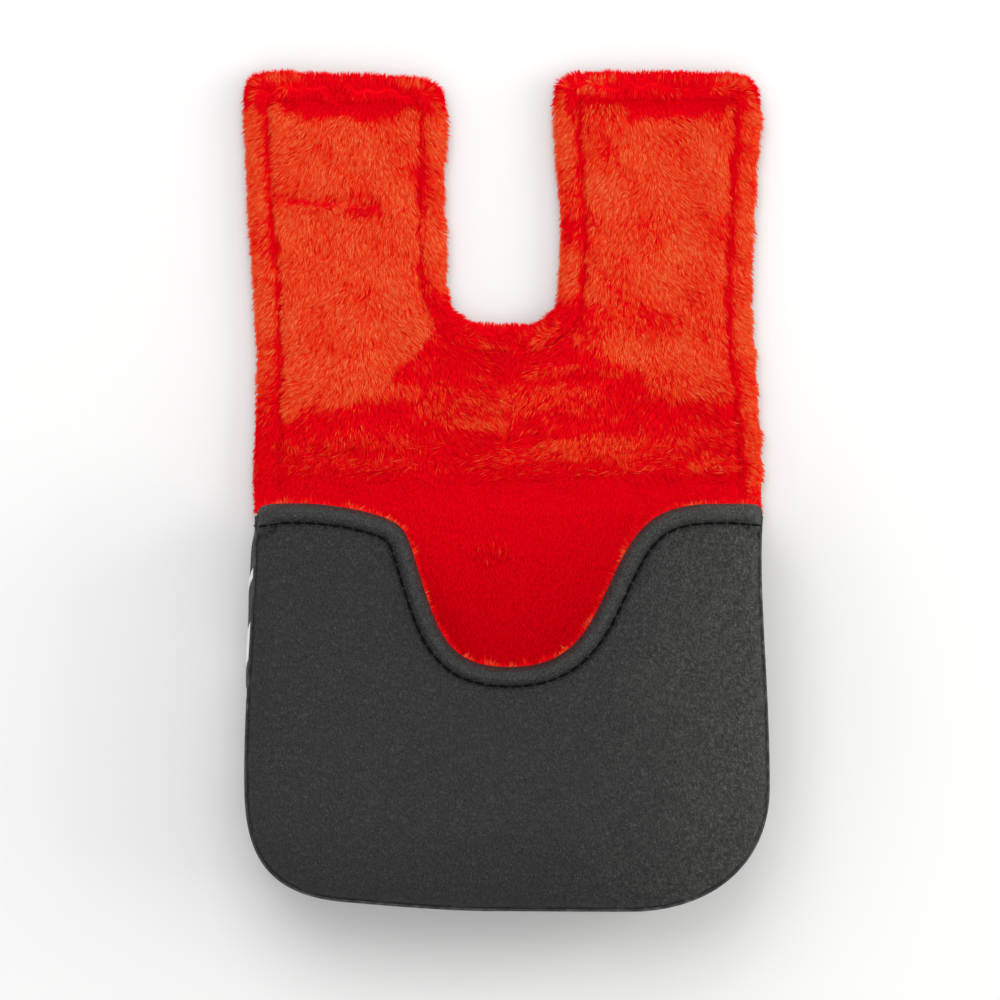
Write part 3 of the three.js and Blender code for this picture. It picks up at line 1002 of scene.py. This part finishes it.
def build_gusset_lining():
    """The plush ground inside the gusset."""
    line = seam_run(1.6, 1.2)
    outward = -left_normals(line)
    low, high = FLOOR_TOP + 0.2, FRONT_BASE - LINING - 0.6
    down = np.linspace(0, 1, 9)
    profile = [(WALL + 0.3, low), (WALL + 0.3, high)]
    profile += zip(WALL + 0.3 + LINING - 0.5 * abs(2 * down - 1) ** 3, high + (low - high) * down)
    section = [np.column_stack([line - outward * depth, np.full(len(line), z)]) for depth, z in profile]
    gusset = swept_solid("gusset_lining_cloth", np.stack(section, 1), PLUSH)
    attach(gusset, "pouch")
    as_pad(gusset, "plush", 0.4, "gusset_lining")


# ---------------------------------------------------------------- the back and the flap
def cut(line, axis, value, keep):
    """The runs of a line on one side of a coordinate, with a point where it crosses."""
    kept = []
    for a, b in zip(line[:-1], line[1:]):
        if keep * (a[axis] - value) >= 0:
            kept.append(a)
        if (a[axis] - value) * (b[axis] - value) < 0:
            kept.append(a + (b - a) * (value - a[axis]) / (b[axis] - a[axis]))
    if keep * (line[-1][axis] - value) >= 0:
        kept.append(line[-1])
    return np.array(kept)


def row(start, end, step=1.5):
    """Points along a straight line."""
    return resample(np.array([start, end], float), step)


def leg_loop(side):
    """One leg and its half of the bridge beyond the split, and the part of the loop that is a real edge."""
    edge = cut(cut(resample(FLAP_EDGE, 1.0), 1, SPLIT_Y, 1), 0, 0.0, side)
    middle = (0, SPLIT_Y)
    return np.vstack([edge, row(edge[-1], middle)[1:], row(middle, edge[0])[1:-1]]), edge


def back_loop():
    """The back panel with its half of the bridge, and the edges that are real."""
    flap = cut(cut(resample(FLAP_EDGE, 1.0), 1, SPLIT_Y, -1), 1, 0.3, 1)
    left, right = flap[flap[:, 0] < 0], flap[flap[:, 0] > 0]
    pouch = resample(POUCH_SIDE, 1.2)
    edge = np.vstack([left[::-1], pouch, right[::-1]])
    return np.vstack([edge, row(edge[-1], edge[0])[1:-1]]), edge


def sheet_heights(edge):
    """Top and bottom of the leather and foam, whose edge turns up."""
    lift, reach = 1.8, 3.0

    def top(points):
        return lift + (BACK_TOP - lift) * puff(nearest(points, edge), 2.2)

    def bottom(points):
        distance = nearest(points, edge)
        groove = 0.55 * bump(distance - EDGE_STITCH, 0.8) * smoothstep(-2, 4, points[:, 1])
        return np.minimum(lift * (1 - puff(distance, reach)) + groove, BACK_TOP)

    return top, bottom


def build_back():
    """The leather and foam of the back panel, the bridge and the legs."""
    loop, edge = back_loop()
    rings = (0.3, 0.9, 1.8, 2.8, 5.2, 6.0, 6.8)
    top, bottom = sheet_heights(edge)
    back = padded_solid("back_panel", loop, edge, rings, 2.2, top, bottom, LEATHER)
    bend_at_mouth(back)
    panels = "back_panel_shell", "back_panel_foam", "flap_bridge_shell", "flap_bridge_foam"
    as_pad(back, "leather", 0.4, *panels)
    for name, side in SIDES.items():
        loop, edge = leg_loop(side)
        top, bottom = sheet_heights(edge)
        leg = padded_solid(f"leg_back_{name}", loop, edge, rings, 2.2, top, bottom, LEATHER)
        bend_at_leg(leg, name)
        as_pad(leg, "leather", 0.4, f"leg_shell_{name}", f"leg_foam_{name}")


def ground_base(points):
    """The underside of the plush, turned up a little at the flap's edge."""
    distance = flap_distance(points)
    open_part = smoothstep(-3, 5, points[:, 1])
    return LINING_BASE - 0.9 * (1 - puff(distance, 2.0)) * open_part


def bridge_sides():
    """The flap's two edges from the split down to the gusset's ends, each from the top."""
    flap = cut(resample(FLAP_EDGE, 1.0), 1, SPLIT_Y, -1)
    left, right = flap[flap[:, 0] < 0], flap[flap[:, 0] > 0]
    return cut(left, 1, -GUSSET_END[-1] - 0.3, 1), cut(right, 1, -GUSSET_END[1] - 0.3, 1)


def build_plush():
    """The plush ground on the flap and on the pouch's floor."""
    left, right = bridge_sides()
    floor = inset(resample(POUCH_SIDE, 1.4), WALL + 0.3)
    floor = floor[floor[:, 1] < -np.where(floor[:, 0] < 0, GUSSET_END[-1], GUSSET_END[1]) - 0.6]
    edge = np.vstack([left[::-1], floor, right[::-1]])
    loop = np.vstack([edge, row(edge[-1], edge[0])[1:-1]])
    rings = (0.3, 0.8, 1.6, 2.6, 3.6, 4.6, 5.4, 6.0, 6.6, 7.6)
    plush = padded_solid("plush_back", loop, edge, rings, 2.0, lining_height, ground_base, PLUSH)
    bend_at_mouth(plush)
    as_pad(plush, "plush", 0.4, "back_panel_lining", "flap_bridge_lining")
    for name, side in SIDES.items():
        loop, edge = leg_loop(side)
        leg = padded_solid(f"plush_leg_{name}", loop, edge, rings, 2.0, lining_height, ground_base, PLUSH)
        bend_at_leg(leg, name)
        as_pad(leg, "plush", 0.4, f"leg_lining_{name}")


# ---------------------------------------------------------------- the pile's lie
swirl = wander(11, 26)
swirl_small = wander(12, 8)


def on_lining(points):
    """Place, tangents and normal of the lining's surface."""
    step = 0.4
    z = lining_height(points)
    slope_x = (lining_height(points + (step, 0)) - lining_height(points - (step, 0))) / (2 * step)
    slope_y = (lining_height(points + (0, step)) - lining_height(points - (0, step))) / (2 * step)
    slope_x, slope_y = np.clip(slope_x, -1.4, 1.4), np.clip(slope_y, -1.4, 1.4)
    ones, zeros = np.ones(len(points)), np.zeros(len(points))
    east = unit(np.column_stack([ones, zeros, slope_x]))
    north = unit(np.column_stack([zeros, ones, slope_y]))
    return np.column_stack([points, z]), east, north, unit(np.cross(east, north))


def lie_of_pile(points):
    """The pile lies towards the pouch, leaning out from the middle of each leg, and out over every edge."""
    x = points[:, 0]
    lean = 0.56 * np.tanh((x - np.sign(x) * 32) / 14) + 0.30 * swirl(points) + 0.25 * swirl_small(points)
    angle = -np.pi / 2 + lean
    comb = np.column_stack([np.cos(angle), np.sin(angle)])
    step = 0.6
    out_x = flap_distance(points - (step, 0)) - flap_distance(points + (step, 0))
    out_y = flap_distance(points - (0, step)) - flap_distance(points + (0, step))
    outward = np.column_stack([out_x, out_y]) / (2 * step)
    upwards = np.clip(outward[:, 1], 0, 1)
    turn = EDGE_STITCH - 0.7 + upwards * (1.2 * finely(points * 1.4) + 0.8 * swirl_small(points) - 1.3)
    border = smoothstep(turn, turn - 1.3, flap_distance(points))
    kept = 1 - 0.95 * border * upwards
    push = border * (0.34 + 0.40 * upwards + 0.25 * swirl_small(points))
    return comb * kept[:, None] + outward * push[:, None]


def pressed(points):
    """1 where the pile lies flat and smooth."""
    mouth = points[:, 1] + 1.8 * finely(points * (0.6, 1))
    flat = np.maximum(smoothstep(13, 3, mouth), 0.7 * flattened(points))
    return np.maximum(flat, 0.6 * bump(flap_distance(points) - EDGE_STITCH, 0.8))


def grow_on_flap(name, loop, seed):
    """Pile all over the loop, shorter and flatter where it is pressed."""
    rng = np.random.default_rng(seed)
    roots = scatter(loop.min(0), loop.max(0), PILE_DENSITY, rng)
    roots = roots[inside(roots, loop)]
    flat = pressed(roots)
    length = PILE_LENGTH * (1 - 0.45 * flat) * (1 + 0.12 * swirl_small(roots))
    length *= 1 - 0.30 * smoothstep(2.2, 0.4, flap_distance(roots))
    lift = 0.30 * (1 - 0.75 * flat)
    return grow_pile(name, roots, on_lining, lie_of_pile(roots), length, lift, brightness(roots), seed)


def build_pile():
    """The pile on the bridge and on each leg."""
    left, right = bridge_sides()
    bridge = grow_on_flap("pile_bridge", np.vstack([left[::-1], right[::-1]]), 31)
    bend_at_mouth(bridge)
    for name, side in SIDES.items():
        leg = grow_on_flap(f"pile_leg_{name}", leg_loop(side)[0], 33 + side)
        bend_at_leg(leg, name)


def build_pouch_pile():
    """Short smooth pile on the pouch's floor, with a few brighter tufts."""
    rng = np.random.default_rng(41)
    floor = inset(resample(POUCH_SIDE, 1.4), WALL + 2.2)
    floor = floor[floor[:, 1] < 0.5]
    loop = np.vstack([[(floor[0][0], 0.6)], floor, [(floor[-1][0], 0.6)]])
    roots = scatter(loop.min(0), loop.max(0), PILE_DENSITY * 0.65, rng)
    roots = roots[inside(roots, loop) & (roots[:, 1] > -52)]
    comb = np.column_stack([0.22 * swirl(roots), -1 + 0.1 * swirl_small(roots)])
    cluster = bump((roots[:, 0] + 2.5) / 6, 1) * bump((roots[:, 1] + 10.5) / 3.2, 1)
    flecks = smoothstep(0.25, 0.6, cluster * (0.75 + 0.5 * swirl_small(roots * 3)))
    # Painted light: the raised tufts take brighter shades.
    bright = np.clip(0.02 + 0.02 * swirl(roots) + 0.24 * flecks, 0, 1)
    length = 2.0 + 0.6 * flecks
    lift = 0.08 + 0.25 * flecks
    piece = grow_pile("pile_pouch_floor", roots, on_lining, comb, length, lift, bright, 42)
    on_pouch(piece)


def build_wisps():
    """Long loose strands that lie across the flap, just above the mouth."""
    rng = np.random.default_rng(71)
    roots = scatter((-56, 5.5), (57, 15.5), 12.0, rng)
    crowd = smoothstep(-0.3, 0.9, finely(roots * (0.35, 1.6))) * bump(roots[:, 1] - 10, 4.0)
    roots = roots[rng.random(len(roots)) < crowd]
    slope = 0.20 * swirl(roots * 0.8) + 0.22 - 0.004 * roots[:, 0]
    heading = np.where(rng.random(len(roots)) < 0.5, 1.0, -1.0)
    comb = np.column_stack([heading, heading * slope])
    length = rng.uniform(1.6, 4.2, len(roots))
    lift = np.full(len(roots), 0.05)

    def place(points):
        base, east, north, up = on_lining(points)
        return base + 0.45 * up, east, north, up

    # Painted light on the loose strands, fading towards the mouth.
    bright = rng.uniform(0.1, 0.6, len(roots)) * smoothstep(5.5, 9, roots[:, 1])
    piece = grow_pile("pile_wisps", roots, place, comb, length, lift, bright, 72, width=0.14)
    bend_at_mouth(piece)


def build_mouth_pile():
    """Tufts of the front lining that stand out past the hem, all along the mouth."""
    step = 0.5
    line = resample(MOUTH_EDGE[3:-3], step)
    inward = left_normals(line)
    length = len(line) * step

    def place(uv):
        at = uv[:, 0] / step
        spots, into = read_line(line, at), unit(read_line(inward, at))
        base = spots + into * (1.1 + 0.25 * uv[:, 1:])
        low = 32.6 - uv[:, 1] * 0.55
        zeros = np.zeros(len(uv))
        along = np.column_stack([-into[:, 1], into[:, 0], zeros])
        out = np.column_stack([-into, zeros - 0.15])
        return np.column_stack([base, low]), along, out, np.column_stack([zeros, zeros, zeros - 1.0])

    rng = np.random.default_rng(51)
    roots = scatter((0, 0), (length, 5), PILE_DENSITY, rng)
    comb = np.column_stack([0.5 * finely(roots * 3), np.ones(len(roots))])
    reach = 2.6 * (1 + 0.25 * finely(roots * 2.2)) * (1 - 0.08 * roots[:, 1])
    lift = 0.25 + 0.16 * roots[:, 1]
    # Painted light on the tufts that stand out past the hem.
    bright = 0.30 + 0.35 * smoothstep(0.15, 0.75, finely(roots * 1.2))
    piece = grow_pile("pile_mouth", roots, place, comb, reach, lift, bright, 52)
    on_pouch(piece)


def build_wall_pile():
    """Pile on the inside of the gusset near the mouth."""
    step = 0.5
    for name, ends, seed in (("left", 1, 61), ("right", -1, 62)):
        line = resample(POUCH_SIDE, step)[::ends][:90]
        inward = left_normals(line) * ends

        def place(uv):
            at = uv[:, 0] / step
            spots, into = read_line(line, at), unit(read_line(inward, at))
            zeros, ones = np.zeros(len(uv)), np.ones(len(uv))
            along = np.column_stack([-into[:, 1], into[:, 0], zeros]) * ends
            base = np.column_stack([spots + into * (WALL + LINING - 0.1), uv[:, 1]])
            return base, along, np.column_stack([zeros, zeros, ones]), np.column_stack([into, zeros])

        rng = np.random.default_rng(seed)
        roots = scatter((1.6, 7), (44, 30), PILE_DENSITY * 0.55, rng)
        comb = np.column_stack([np.where(roots[:, 0] < 4, -1.0, 0.2), -1 + 0.5 * finely(roots)])
        length = np.full(len(roots), 2.6)
        lift = np.full(len(roots), 0.35)
        # Painted light on the wall's pile, a little uneven.
        bright = np.clip(0.25 + 0.2 * swirl_small(roots), 0, 1)
        piece = grow_pile(f"pile_gusset_{name}", roots, place, comb, length, lift, bright, seed)
        on_pouch(piece)


# ---------------------------------------------------------------- stitching
def lifted(line, height, normal=(0, 0, 1)):
    """The line in space at the heights, and its normals."""
    return np.column_stack([line, height]), np.tile(np.array(normal, float), (len(line), 1))


def build_mouth_stitches():
    """The topstitching along the mouth's hem, smoothed where the scoop turns."""
    line = resample(MOUTH_EDGE, 0.6)
    hem = line + left_normals(line) * HEM_STITCH
    clear = (nearest(hem, MOUTH_EDGE) > HEM_STITCH * 0.96) & (abs(hem[:, 0]) < POUCH_HALF - 9)
    right, left = (POUCH_HALF - 1.8, -HEM_STITCH - 0.6), (-POUCH_HALF + 3.1, -HEM_STITCH - 0.9)
    path = resample(np.vstack([[right], hem[clear], [left]]), 0.6)
    for _ in range(6):
        path[1:-1] = (path[:-2] + path[1:-1] + path[2:]) / 3
    path, up = lifted(path, panel_top(path) + 0.18)
    points, triangles = stitch_row(path, up, 0.28, 0.36)
    stitches = make_mesh("mouth_stitches", points, triangles, [BLACK_THREAD])
    on_pouch(stitches)
    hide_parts("mouth_hem_thread")


def build_gusset_stitches():
    """The short run of stitches up each end of the gusset."""
    step, count = 0.5, 40
    line = resample(POUCH_SIDE, step)
    outward = -left_normals(line)
    at = int((HEM_STITCH + 0.9) / step)
    shares = np.linspace(0.06, 0.94, count)
    for name, point in (("left", at), ("right", -1 - at)):
        place, out = np.tile(line[point], (count, 1)), np.tile(outward[point], (count, 1))
        spot = gusset_surface(place, out, shares, -0.02)
        up = np.column_stack([out, np.zeros(count)])
        points, triangles = stitch_row(spot, up, 0.28, 0.5)
        stitches = make_mesh(f"gusset_stitches_{name}", points, triangles, [BLACK_THREAD])
        on_pouch(stitches)
        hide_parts(f"gusset_hem_thread_{name}")


def edge_stitch_runs():
    """The line sewn inside the flap's edge, as one run for each leg and one for each side of the bridge."""
    line = resample(FLAP_EDGE, 0.8)
    sewn = inset(line, -EDGE_STITCH)
    sewn = sewn[sewn[:, 1] > 2.0]
    upper = cut(sewn, 1, SPLIT_Y, 1)
    lower = cut(sewn, 1, SPLIT_Y, -1)
    return {
        "leg_left": cut(upper, 0, 0.0, -1),
        "leg_right": cut(upper, 0, 0.0, 1),
        "bridge_left": lower[lower[:, 0] < 0],
        "bridge_right": lower[lower[:, 0] > 0],
    }


def build_edge_stitches():
    """The flap's sewn line, red on the plush and black on the leather of its back."""
    for name, run in edge_stitch_runs().items():
        part, side = name.split("_")
        path, up = lifted(run, lining_height(run) - 0.3)
        inner = make_mesh(f"lining_stitches_{name}", *stitch_row(path, up, 0.24, 0.3), [RED_THREAD])
        path, up = lifted(run, np.full(len(run), 0.34), (0, 0, -1))
        outer = make_mesh(f"back_stitches_{name}", *stitch_row(path, up, 0.26, 0.1), [BLACK_THREAD])
        for piece, slot in ((inner, "red_thread"), (outer, "black_thread")):
            if part == "leg":
                bend_at_leg(piece, side)
            else:
                bend_at_mouth(piece)
        node = f"leg_thread_{side}" if part == "leg" else f"flap_bridge_thread_{side}"
        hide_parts(node)


# ---------------------------------------------------------------- studio
def build_studio():
    """A pale floor, an even white surround, a soft key light and a warm one low on the right."""
    floor_material = principled("pale_floor", (0.97, 0.97, 0.97), 0.8)
    half = 3.0
    corners = [(-half, -half), (half, -half), (half, half), (-half, half)]
    mesh = bpy.data.meshes.new("floor")
    mesh.from_pydata([(x, y, -0.0004) for x, y in corners], [], [(0, 1, 2, 3)])
    mesh.materials.append(floor_material)
    floor = bpy.data.objects.new("floor", mesh)
    bpy.context.scene.collection.objects.link(floor)

    world = bpy.data.worlds.new("studio")
    world.use_nodes = True
    world.node_tree.nodes["Background"].inputs["Color"].default_value = (1, 1, 1, 1)
    world.node_tree.nodes["Background"].inputs["Strength"].default_value = 0.66
    bpy.context.scene.world = world

    for name, place, size, power, colour in (
        ("key", (-0.15, 0.60, 1.3), 0.9, 7.0, (1, 1, 1)),
        ("side", (1.3, 0.1, 0.55), 1.0, 7.5, (1, 0.98, 0.92)),
    ):
        light = bpy.data.lights.new(name, "AREA")
        light.size = size
        light.energy = power
        light.color = colour
        lamp = bpy.data.objects.new(name, light)
        lamp.location = place
        lamp.rotation_euler = (-Vector(place)).to_track_quat("-Z", "Y").to_euler()
        bpy.context.scene.collection.objects.link(lamp)
    bpy.context.scene.view_settings.view_transform = "Standard"


def build_camera():
    """A long lens nearly straight above, leaning a little to the left."""
    distance, view_width, lean = 2.0, 0.250, np.radians(1.5)
    target = Vector((-0.0010, (MOUTH_Y + 0.9) * MM, 0.005))
    data = bpy.data.cameras.new("camera")
    data.lens = data.sensor_width * distance / view_width
    camera = bpy.data.objects.new("camera", data)
    camera.location = target + Vector((-np.sin(lean), 0, np.cos(lean))) * distance
    camera.rotation_euler = (0, -lean, 0)
    bpy.context.scene.collection.objects.link(camera)
    bpy.context.scene.camera = camera


def plate_magnets():
    """Nickel on the four hidden magnets, which are the frame's own objects."""
    for name in ("leg_magnet_left", "leg_magnet_right", "pouch_magnet_left", "pouch_magnet_right"):
        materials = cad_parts[name].data.materials
        materials.clear()
        materials.append(NICKEL)


plate_magnets()
build_camera()
build_studio()
build_front_panel()
build_gusset()
build_seam_rolls()
build_gusset_bars()
build_front_lining()
build_gusset_lining()
build_back()
build_plush()
build_pile()
build_pouch_pile()
build_wisps()
build_mouth_pile()
build_wall_pile()
build_mouth_stitches()
build_gusset_stitches()
build_edge_stitches()
